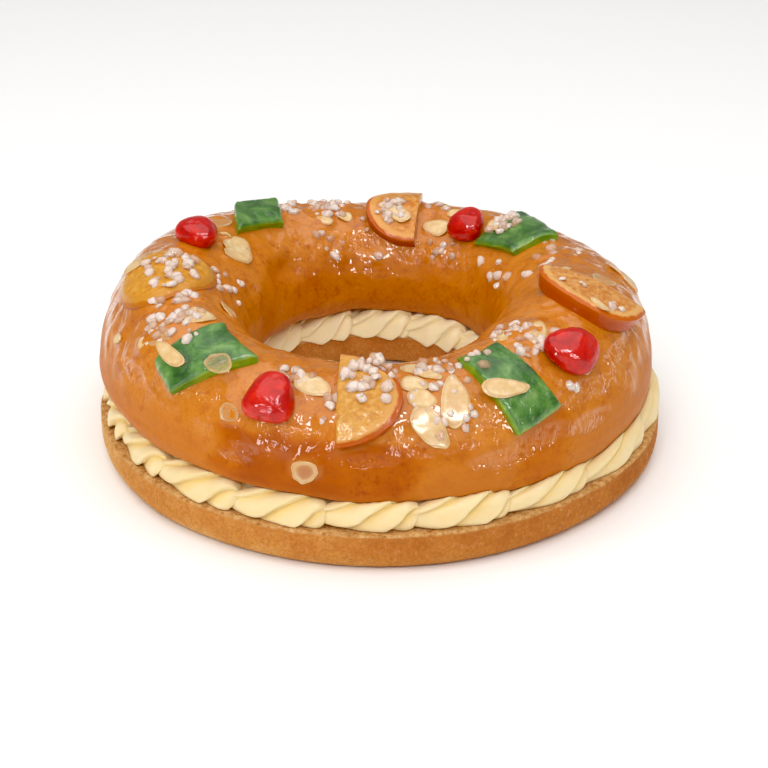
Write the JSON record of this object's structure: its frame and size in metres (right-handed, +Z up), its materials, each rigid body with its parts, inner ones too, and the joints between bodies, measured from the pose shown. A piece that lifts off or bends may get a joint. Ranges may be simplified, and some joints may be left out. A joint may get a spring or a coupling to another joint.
{
  "type": "filled ring pastry",
  "caption": "Ring of sweet bread cut level and filled with piped cream, its glazed top set with candied fruit, flaked almonds and pearl sugar.",
  "frame": {"origin": "middle of the ring, at the level it rests on", "axes": "+Z up through the hole; the side nearest the camera in the picture faces -Y, and +X is to its right"},
  "size_m": [0.238, 0.238, 0.089],
  "materials": {
    "baked_bread": "matte, dry crust",
    "glazed_crust": "egg-washed and syrup-glazed, semi-gloss",
    "pastry_cream": "soft, slightly moist",
    "candied_cherry": "wet gloss",
    "candied_melon": "wet gloss",
    "candied_orange": "sticky gloss"
  },
  "bodies": {
    "root": {"base_bread": "baked_bread", "piped_cream": "pastry_cream", "top_bread": "glazed_crust", "cherry_1": "candied_cherry", "cherry_2": "candied_cherry", "cherry_3": "candied_cherry", "cherry_4": "candied_cherry", "melon_slab_1": "candied_melon", "melon_slab_2": "candied_melon", "melon_slab_3": "candied_melon", "melon_slab_4": "candied_melon", "orange_slice_1": "candied_orange", "orange_slice_2": "candied_orange", "orange_slice_3": "candied_orange", "orange_slice_4": "candied_orange"}
  },
  "joints": []
}
